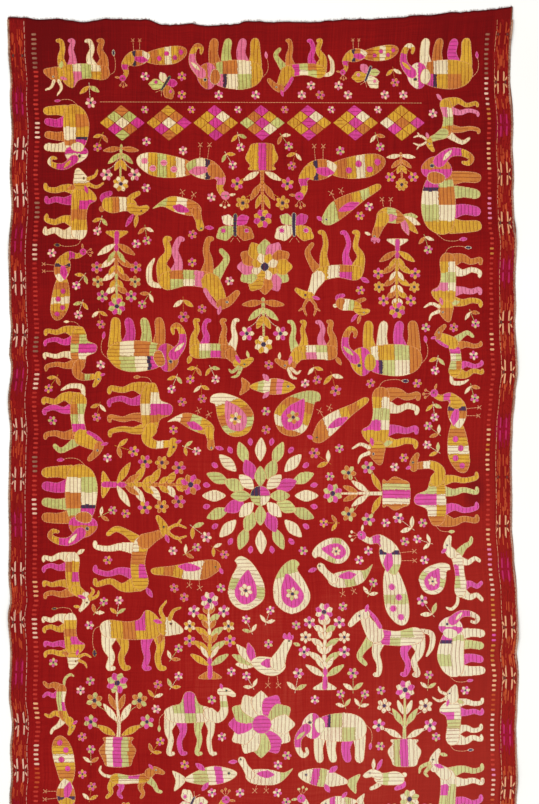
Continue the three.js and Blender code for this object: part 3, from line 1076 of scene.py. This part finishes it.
def bow(side, down, thread):
    """Two columns of upright stitches, each with a dark knot and slanting wings at its outer side."""
    y = LONG / 2 - down
    shade = rng.normal(0, 0.4)
    uprights(side, down, thread, 0.75, shade)
    for column, way_out in zip(BOW_COLUMNS, (-1, 1)):
        outer, inner = selvedge_x(side, column + way_out * 8.4), selvedge_x(side, column + way_out * 4.4)
        for way in (-1, 1):
            for strand in (-1.0, 1.0):
                stitch(thread, (outer, y + way * (13.5 + strand)), (inner, y + way * (5.5 + strand)),
                       2.8, 0.65, shade - 0.5 + rng.normal(0, 0.3))
        for strand in (-3.2, -1.6, 0, 1.6, 3.2):
            near = selvedge_x(side, column + way_out * 1.8)
            far = selvedge_x(side, column + way_out * (8.0 - abs(strand)))
            stitch("brown", (near, y + strand), (far, y + strand), 2.0, 0.4, rng.normal(0, 0.4))


def woven_band(side, bows, patches):
    """Upright floats that fill the band: magenta in patches, rust beyond each bow, red elsewhere."""
    for inward in np.arange(*BAND_ROWS):
        down = rng.uniform(0, 12)
        while down < LONG - 36:
            long = rng.uniform(12, 34)
            middle = down + long / 2
            to_bow = min(abs(middle - b) for b in bows)
            to_patch = min(abs(middle - p) for p in patches)
            pick = rng.random()
            thread = "crimson" if pick < 0.8 else None
            if to_patch < rng.uniform(14, 44) and (side > 0 or inward < 34):
                thread = "wine" if pick < 0.85 else "crimson"
            elif BOW_REACH < to_bow < BOW_REACH + 34 and abs(inward - 23) < 16:
                thread = "rust" if pick < (0.4 if side < 0 else 0.5) else "crimson"
            elif to_bow < BOW_REACH and pick > 0.35:
                thread = None
            if thread:
                upright_line(side, inward + rng.uniform(-0.3, 0.3), down, down + long, thread,
                             rng.uniform(2.8, 3.6), rng.uniform(0.1, 0.22), rng.normal(0, 0.4))
            down += long + rng.uniform(0.5, 2.5)


def border_line(side):
    """The thin broken line at the inner side of the band, and a fainter one near the selvedge."""
    inner = ("blush", 4.5) if side < 0 else ("peach", 2.6)
    for inward, wide, (thread, gap) in ((BAND_INNER[side > 0], 1.5, inner), (5.5, 1.2, ("rust", 16.0))):
        down = rng.uniform(0, 8)
        while down < LONG - 20:
            long = rng.uniform(7, 17)
            upright_line(side, inward + rng.uniform(-0.3, 0.3), down, down + long, thread, wide, 0.35,
                         rng.normal(-0.6, 0.5))
            down += long + rng.uniform(1.5, gap)


def ladder(side, colours):
    """Short ticks across, one over another, their colour changing in groups."""
    down = colours[0][0]
    wide, pitch = LADDER_WIDE[side > 0], LADDER_PITCH[side > 0]
    while down < LONG - 50:
        thread = [name for start, name in colours if start <= down][-1]
        high = 0.4 if thread == "red" else 0.65
        half = wide / 2 * rng.uniform(0.86, 1.04)
        x, y = selvedge_x(side, LADDER_AT[side > 0]) + rng.uniform(-0.7, 0.7), LONG / 2 - down
        tone = rng.normal(0.1, 0.35)
        for strand, share in ((-1.7, 0.8), (0, 1.0), (1.7, 0.84)):
            stitch(thread, (x - half * share, y + strand), (x + half * share, y + strand), 2.5, high, tone)
        down += pitch * rng.uniform(0.94, 1.06)


def selvedge_edge(side):
    """The weft's turns at a selvedge, in pale and olive brown ends."""
    at = np.arange(3.0, LONG - 3, 1.7)
    inner = side * (WIDE / 2 - rng.uniform(2.5, 5.0, len(at)))
    out = side * (WIDE / 2 + rng.uniform(0.6, 1.7, len(at)))
    y = LONG / 2 - at
    slant = 0.6 * np.sin(at / 9.0) + rng.uniform(-0.3, 0.3, len(at))
    stitch("edge", np.stack([inner, y], 1), np.stack([out, y + slant], 1), 1.9, 0.3,
           0.6 * np.sin(at / 23.0) + rng.normal(0, 0.5, len(at)))


# The ground cloth
GRID_ACROSS, GRID_DOWN = 11.0, 13.0
RAGGED_TOP, RAGGED_BOTTOM = 11, 12       # each raw end's own unevenness


def steps(length, step):
    """Shares along a side, closer together near its ends."""
    edge = (0.0, 2.5, 6.0)
    inner = np.arange(edge[-1] + 6, length - edge[-1] - 5, step)
    return np.concatenate([edge, inner, length - np.array(edge[::-1])]) / length


def ragged(at, seed):
    """The small unevenness of a raw end, in millimetres."""
    noise = np.random.default_rng(seed)
    knots = np.cumsum(noise.uniform(5, 18, 300))
    return np.interp(at, knots - 40, noise.uniform(-2.2, 1.8, 300))


def ground_cloth():
    """The sheet: its face and its underside over one grid, joined round the rim."""
    u, v = np.meshgrid(steps(WIDE, GRID_ACROSS), steps(LONG, GRID_DOWN))
    x_at, down_at = u * WIDE, v * LONG
    left = -WIDE / 2 - between(LEFT_SELVEDGE, down_at)
    right = WIDE / 2 + between(RIGHT_SELVEDGE, down_at)
    top = LONG / 2 + between(TOP_END, x_at) + ragged(x_at, RAGGED_TOP)
    bottom = -LONG / 2 - between(BOTTOM_END, x_at) - ragged(x_at, RAGGED_BOTTOM)
    x = left + (right - left) * u + SHIFT_X
    y = top + (bottom - top) * v + SHIFT_Y
    under = lift(x_at, down_at)
    face = under + COTTON_THICK + puckers(x - SHIFT_X, y - SHIFT_Y)
    rows, columns = u.shape
    points = np.concatenate([np.stack([x, y, z], 2).reshape(-1, 3) for z in (face, under)]) * MM
    number = np.arange(rows * columns).reshape(rows, columns)
    a, b, c, d = number[:-1, :-1], number[1:, :-1], number[1:, 1:], number[:-1, 1:]
    faces = np.stack([a, b, c, d], 2).reshape(-1, 4)
    base = rows * columns
    faces = np.concatenate([faces, faces[:, ::-1] + base])
    rim = np.concatenate([number[0, :], number[1:, -1], number[-1, -2::-1], number[-2:0:-1, 0]])
    after = np.roll(rim, -1)
    faces = np.concatenate([faces, np.stack([rim, after, after + base, rim + base], 1)])
    cloth = mesh_piece("ground_cloth", points, faces)
    weave = cloth.data.uv_layers.new(name="weave")
    corner = np.empty(len(cloth.data.loops), np.int32)
    cloth.data.loops.foreach_get("vertex_index", corner)
    place = np.stack([u.ravel() * WIDE * MM, v.ravel() * LONG * MM], 1)
    weave.data.foreach_set("uv", np.tile(place, (2, 1))[corner].astype(np.float32).ravel())
    return cloth


def raw_fibres():
    """Loose ends of the warp, and a few of the weft, along both raw ends."""
    points, faces = [], []
    for end, table, seed in ((1, TOP_END, RAGGED_TOP), (-1, BOTTOM_END, RAGGED_BOTTOM)):
        for at in np.arange(2.0, WIDE - 2, 1.4):
            at = at + rng.uniform(-0.6, 0.6)
            out = float(between(table, at)) + float(ragged(at, seed))
            reach, lean = rng.uniform(2.0, 7.0), rng.normal(0, 1.6)
            if rng.random() < 0.07:
                reach, lean = rng.uniform(1.0, 3.0), rng.choice((-1, 1)) * rng.uniform(6, 16)
            root = np.array([at - WIDE / 2, end * (LONG / 2 + out - 1.5)])
            x = float(swayed(root[0], LONG / 2 - root[1])) + SHIFT_X
            y = root[1] + SHIFT_Y
            z = float(lift(np.array([at]), np.array([0.0 if end > 0 else LONG]))[0]) + 0.7
            stations = ((x, y, z, 0.34), (x + 0.3 * lean, y + end * reach * 0.5, z + 0.3, 0.3),
                        (x + lean, y + end * reach, max(z - 0.4, 0.35), 0.2))
            # three rings of three points, and the faces round and at the ends of them
            first = len(points)
            for px, py, pz, thick in stations:
                for k in range(3):
                    a = math.radians(120 * k + 90)
                    points.append((px + thick * math.cos(a), py, pz + thick * math.sin(a)))
            for k in range(3):
                a, b = first + k, first + (k + 1) % 3
                for low in (0, 3):
                    faces += [(a + low, a + low + 3, b + low + 3), (a + low, b + low + 3, b + low)]
            faces += [(first, first + 1, first + 2), (first + 6, first + 8, first + 7)]
            if end < 0:
                faces[-14:] = [face[::-1] for face in faces[-14:]]
    return mesh_piece("raw_fibres", np.array(points) * MM, np.array(faces))


# Finishes

def colour(r, g, b):
    """An sRGB colour, 0 to 255, as Blender's linear one."""
    def linear(v):
        v /= 255
        return v / 12.92 if v <= 0.04045 else ((v + 0.055) / 1.055) ** 2.4
    return (linear(r), linear(g), linear(b), 1.0)


class Nodes:
    """A short way to write a material's nodes; a value is a number, a colour, a node or its output."""

    def __init__(self, name):
        self.material = bpy.data.materials.new(name)
        self.material.use_nodes = True
        self.tree = self.material.node_tree
        self.shader = self.tree.nodes["Principled BSDF"]

    def add(self, kind, links=(), **settings):
        node = self.tree.nodes.new(kind)
        for key, value in settings.items():
            setattr(node, key, value)
        for socket, value in links:
            self.plug(node.inputs[socket], value)
        return node

    def plug(self, socket, value):
        if isinstance(value, bpy.types.NodeSocket):
            self.tree.links.new(value, socket)
        elif isinstance(value, bpy.types.Node):
            self.tree.links.new(value.outputs[0], socket)
        else:
            socket.default_value = value

    def math(self, operation, *values, clamp=False):
        return self.add("ShaderNodeMath", enumerate(values), operation=operation, use_clamp=clamp).outputs[0]

    def mix(self, factor, low, high, blend="MIX"):
        node = self.add("ShaderNodeMix", data_type="RGBA", blend_type=blend)
        self.plug(node.inputs["Factor"], factor)
        self.plug(node.inputs["A"], low)
        self.plug(node.inputs["B"], high)
        return node.outputs["Result"]

    def swing(self, value, reach):
        """A value that goes from 0 to 1, made to go as far below 0 as above it."""
        return self.math("MULTIPLY", self.math("SUBTRACT", value, 0.5), reach)

    def tinge(self, base, where, share, tint):
        """The base with a share of a tint, where a mask says."""
        return self.mix(self.math("MULTIPLY", where, share), base, tint)

    def on_piece(self):
        return self.add("ShaderNodeTexCoord").outputs["Object"]

    def on_points(self, name):
        attribute = self.add("ShaderNodeAttribute", attribute_name=name, attribute_type="GEOMETRY")
        return attribute.outputs["Fac"]

    def split(self, where):
        """The x and the y of a place."""
        return self.add("ShaderNodeSeparateXYZ", (("Vector", where),)).outputs[:2]

    def noise(self, where, scale, detail):
        links = (("Vector", where), ("Scale", scale), ("Detail", detail), ("Roughness", 0.55))
        return self.add("ShaderNodeTexNoise", links).outputs["Fac"]

    def stretched(self, where, x, y):
        return self.add("ShaderNodeMapping", (("Vector", where), ("Scale", (x, y, 1.0)))).outputs[0]

    def ramp(self, factor, stops):
        node = self.add("ShaderNodeValToRGB", (("Fac", factor),))
        elements = node.color_ramp.elements
        while len(elements) < len(stops):
            elements.new(0.5)
        for element, (at, tint) in zip(elements, stops):
            element.position = at
            element.color = tint
        return node.outputs["Color"]

    def smooth_step(self, value, low, high):
        node = self.add("ShaderNodeMapRange", (("Value", value), ("From Min", low), ("From Max", high)),
                        interpolation_type="SMOOTHSTEP")
        return node.outputs[0]

    def near_ends(self, along, length, start, full):
        """1 near both ends of a length, falling to 0 further in; all in metres."""
        nearest = self.math("MINIMUM", along, self.math("SUBTRACT", length, along))
        return self.smooth_step(nearest, start, full)

    def bump(self, height, distance, strength):
        links = (("Height", height), ("Distance", distance), ("Strength", strength))
        self.plug(self.shader.inputs["Normal"], self.add("ShaderNodeBump", links).outputs[0])

    def surface(self, tint, rough, shine=0.5):
        """Sets the surface's colour and how dull it is, and returns the material."""
        self.plug(self.shader.inputs["Base Color"], tint)
        self.shader.inputs["Roughness"].default_value = rough
        self.shader.inputs["Specular IOR Level"].default_value = shine
        return self.material


def painted_light_slope(nodes, where):
    """Painted light: 0 at the top left to 1 at the lower right, as the light on the cloth grows brighter that
    way.
    """
    x, y = nodes.split(where)
    across = nodes.math("MULTIPLY", x, 0.42)
    up = nodes.math("MULTIPLY", y, -0.30)
    return nodes.math("ADD", nodes.math("ADD", across, up), 0.42, clamp=True)


def painted_ground_shading(nodes, where):
    """Painted light and shade on the red ground: lightest at the middle, low down, and darkest at the sides
    and the top.
    """
    x, y = nodes.split(where)
    across = nodes.math("MULTIPLY_ADD", x, -0.735, 0.135)
    up = nodes.math("MULTIPLY_ADD", y, -0.087, -0.182)
    return nodes.math("MULTIPLY_ADD", across, x, nodes.math("MULTIPLY_ADD", up, y, 0.684))


# In metres: the weave's repeat, and the middle of the dark patch from the top left corner
WEAVE_PITCH = 0.0026
DARK_PATCH = (1.205, 1.235, 0.0)
# The ground's reds, from its darkest to its lightest
REDS = ((0.0, colour(106, 11, 13)), (0.23, colour(128, 14, 16)), (0.5, colour(154, 21, 20)),
        (0.73, colour(170, 31, 26)), (1.0, colour(187, 58, 44)))


def red_cotton():
    """The ground: plain weave in streaky red, worn, with painted shade at its sides and top and painted light
    in its middle and towards the lower right.
    """
    nodes = Nodes("red_cotton")
    where = nodes.on_piece()
    weave = nodes.add("ShaderNodeUVMap", uv_map="weave").outputs[0]
    across, down = nodes.split(weave)
    # painted shade and light: the ground is painted darker at its sides and top and lighter in the middle,
    # low down
    light = painted_ground_shading(nodes, where)
    warp = nodes.noise(nodes.stretched(weave, 260, 5), 1.0, 4)
    weft = nodes.noise(nodes.stretched(weave, 7, 240), 1.0, 4)
    cloudy = nodes.noise(weave, 4.0, 4)
    streaks = nodes.math("ADD", nodes.swing(warp, 0.58), nodes.swing(weft, 0.38))
    level = nodes.math("ADD", nodes.math("ADD", light, streaks), nodes.swing(cloudy, 0.6), clamp=True)
    tint = nodes.ramp(level, REDS)
    # painted light: the ground is painted lighter and more orange towards the lower right, where the light is
    # brightest
    painted_hot_spot = nodes.smooth_step(painted_light_slope(nodes, where), 0.5, 0.95)
    tint = nodes.tinge(tint, painted_hot_spot, 0.3, colour(188, 74, 56))
    # the selvedge bands are browner, their outer edge is faded, and the raw ends are darker
    tint = nodes.tinge(tint, nodes.near_ends(across, WIDE * MM, 0.048, 0.043), 0.6, colour(132, 20, 19))
    tint = nodes.tinge(tint, nodes.near_ends(across, WIDE * MM, 0.0055, 0.0015), 0.8, colour(138, 88, 64))
    tint = nodes.tinge(tint, nodes.near_ends(down, LONG * MM, 0.007, 0.0), 0.8, colour(58, 10, 14))
    # one darker patch beside the right border
    apart = nodes.add("ShaderNodeVectorMath", ((0, weave), (1, DARK_PATCH)), operation="SUBTRACT")
    shaped = nodes.stretched(apart.outputs[0], 1.0, 0.62)
    far = nodes.add("ShaderNodeVectorMath", ((0, shaped),), operation="LENGTH").outputs["Value"]
    uneven = nodes.math("ADD", far, nodes.swing(cloudy, 0.03))
    tint = nodes.tinge(tint, nodes.smooth_step(uneven, 0.034, 0.012), 0.42, colour(88, 12, 22))
    # plain weave: one thread over, one under, with slubs
    over = nodes.math("SINE", nodes.math("MULTIPLY", across, 2 * math.pi / WEAVE_PITCH))
    under = nodes.math("SINE", nodes.math("MULTIPLY", down, 2 * math.pi / WEAVE_PITCH))
    threads = nodes.math("MULTIPLY", over, under)
    tint = nodes.mix(nodes.math("MULTIPLY_ADD", threads, 0.11, 0.11), tint, colour(60, 6, 8))
    height = nodes.math("ADD", nodes.math("MULTIPLY", threads, 0.5), nodes.math("MULTIPLY", streaks, 1.3))
    nodes.bump(height, 0.0009, 0.9)
    return nodes.surface(tint, 0.9, 0.06)


def floss(name, dull, bright, painted_hot_spot, glossy):
    """Floss in one colour: dull and bright strands, painted lighter towards the lower right, where the light
    is brightest.
    """
    nodes = Nodes(name)
    where = nodes.on_piece()
    tone = nodes.on_points("tone")
    patchy = nodes.noise(where, 34.0, 3)
    fine = nodes.noise(where, 420.0, 2)
    # each float is many fine strands side by side
    across = nodes.math("MULTIPLY", nodes.on_points("across"), 2.6)
    place = nodes.add("ShaderNodeCombineXYZ", ((0, across), (1, nodes.math("MULTIPLY", tone, 40.0))))
    strand = nodes.noise(place, 2.0, 2)
    level = nodes.math("MULTIPLY", tone, 0.42)
    for noise, reach in ((patchy, 1.5), (fine, 0.9), (strand, 1.4)):
        level = nodes.math("ADD", level, nodes.swing(noise, reach))
    level = nodes.math("ADD", level, 0.5, clamp=True)
    strands = nodes.mix(level, colour(*dull), colour(*bright))
    # painted light: each floss is tinted towards its lit colour towards the lower right
    tint = nodes.tinge(strands, painted_light_slope(nodes, where), 0.6, colour(*painted_hot_spot))
    nodes.bump(nodes.math("ADD", nodes.math("MULTIPLY", strand, 1.6), fine), 0.0004, 0.7)
    if not glossy:
        return nodes.surface(tint, 0.75, 0.1)
    nodes.shader.inputs["Sheen Weight"].default_value = 0.15
    nodes.shader.inputs["Sheen Roughness"].default_value = 0.4
    return nodes.surface(tint, 0.46, 0.38)


def loose_cotton():
    nodes = Nodes("loose_cotton")
    level = nodes.noise(nodes.on_piece(), 90.0, 2)
    tint = nodes.ramp(level, ((0.35, colour(78, 12, 16)), (0.65, colour(140, 44, 40))))
    return nodes.surface(tint, 0.92, 0.15)


# Threads: record slot, dull strand, bright strand, and the painted highlight a strand takes towards the lower
# right, where the light is brightest
MATT = ("wine", "crimson", "plum", "rust", "red", "edge")
THREADS = {
    "gold": ("silk_gold", (194, 128, 10), (228, 176, 30), (236, 196, 66)),
    "orange": ("silk_orange", (182, 92, 16), (212, 126, 32), (224, 152, 66)),
    "cream": ("silk_cream", (226, 200, 148), (250, 232, 190), (255, 252, 228)),
    "magenta": ("silk_magenta", (184, 18, 108), (228, 46, 150), (250, 118, 210)),
    "green": ("silk_green", (166, 160, 70), (210, 208, 116), (236, 238, 178)),
    "indigo": ("silk_indigo", (22, 10, 24), (56, 26, 62), (92, 60, 120)),
    "peach": ("silk_orange", (216, 136, 80), (240, 174, 118), (252, 202, 158)),
    "pink": ("silk_magenta", (214, 88, 122), (236, 128, 158), (246, 160, 200)),
    "blush": ("silk_cream", (212, 156, 128), (244, 202, 176), (246, 206, 180)),
    "wine": ("silk_magenta", (112, 6, 26), (144, 8, 44), (186, 14, 70)),
    "crimson": ("red_cotton", (124, 10, 12), (150, 20, 16), (168, 34, 24)),
    "plum": ("silk_magenta", (156, 12, 62), (194, 38, 102), (216, 62, 124)),
    "rust": ("silk_orange", (158, 42, 20), (196, 72, 36), (214, 104, 58)),
    "red": ("red_cotton", (160, 28, 26), (196, 56, 44), (214, 78, 60)),
    "brown": ("silk_indigo", (62, 26, 16), (96, 48, 28), (110, 56, 36)),
    "tan": ("silk_orange", (126, 66, 46), (166, 108, 78), (178, 122, 92)),
    "edge": ("red_cotton", (104, 60, 44), (204, 162, 134), (212, 170, 148)),
}


def floor():
    bpy.ops.mesh.primitive_plane_add(size=14.0, location=(0, 0, -0.0004))
    plane = bpy.context.object
    plane.name = "studio_floor"
    nodes = Nodes("pale_floor")
    level = nodes.noise(nodes.on_piece(), 1.5, 2)
    tint = nodes.ramp(level, ((0.3, colour(244, 244, 240)), (0.7, colour(250, 250, 247))))
    plane.data.materials.append(nodes.surface(tint, 0.9))


def studio_light():
    world = bpy.data.worlds.new("studio")
    bpy.context.scene.world = world
    world.use_nodes = True
    sky = world.node_tree.nodes["Background"].inputs
    sky["Color"].default_value = (1.0, 0.985, 0.97, 1.0)
    sky["Strength"].default_value = 0.72
    lamps = (("key", (-2.6, 2.2, 4.2), 2.4, 110.0), ("fill", (2.8, -2.6, 4.6), 3.5, 70.0))
    for name, place, size, power in lamps:
        light = bpy.data.lights.new(name, "AREA")
        light.size = size
        light.energy = power
        lamp = bpy.data.objects.new(name, light)
        lamp.location = place
        aim = math.atan2(math.hypot(place[0], place[1]), place[2])
        lamp.rotation_euler = (aim, 0, math.atan2(place[1], place[0]) + math.pi / 2)
        bpy.context.scene.collection.objects.link(lamp)


def camera():
    """Straight above, at the photo's framing: its frame cuts off the lower end of the cloth."""
    high = 6.2
    sensor = 24.0
    frame_high = PHOTO_HIGH * PHOTO_MM * MM
    lens = bpy.data.cameras.new("camera")
    lens.sensor_fit = "VERTICAL"
    lens.sensor_height = sensor
    lens.lens = sensor * high / frame_high
    lens.clip_end = 60
    eye = bpy.data.objects.new("camera", lens)
    x = photo_x(PHOTO_WIDE / 2) + SHIFT_X
    y = photo_y(PHOTO_HIGH / 2) + SHIFT_Y
    eye.location = (x * MM, y * MM, high)
    bpy.context.scene.collection.objects.link(eye)
    bpy.context.scene.camera = eye


# Making the cloth

for obj in bpy.context.selected_objects:
    obj.select_set(False)
bpy.context.scene.view_settings.view_transform = "Standard"
camera()
studio_light()
floor()

cloth = ground_cloth()
cloth.data.materials.append(red_cotton())
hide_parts("cloth")
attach(cloth, "root")

for item in garden():
    work(item.parts, item.place(), silks(*item.at))
for side, bows, faint, patches, groups in ((-1, LEFT_BOWS, LEFT_FAINT, LEFT_PATCHES, LEFT_LADDER),
                                           (1, RIGHT_BOWS, RIGHT_FAINT, RIGHT_PATCHES, RIGHT_LADDER)):
    woven_band(side, bows + faint, patches)
    for down in bows:
        bow(side, down, "blush" if side < 0 else "peach")
    for down in faint:
        bow(side, down, "rust")
    for down in patches:
        uprights(side, down, "plum", 0.4)
    border_line(side)
    ladder(side, groups)
    selvedge_edge(side)

for thread, (slot, dull, bright, painted_hot_spot) in THREADS.items():
    finish = floss(f"{thread}_silk", dull, bright, painted_hot_spot, thread not in MATT)
    for piece in stitch_meshes(thread):
        piece.data.materials.append(finish)
        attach(piece, "root")

fibres = raw_fibres()
fibres.data.materials.append(loose_cotton())
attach(fibres, "root")
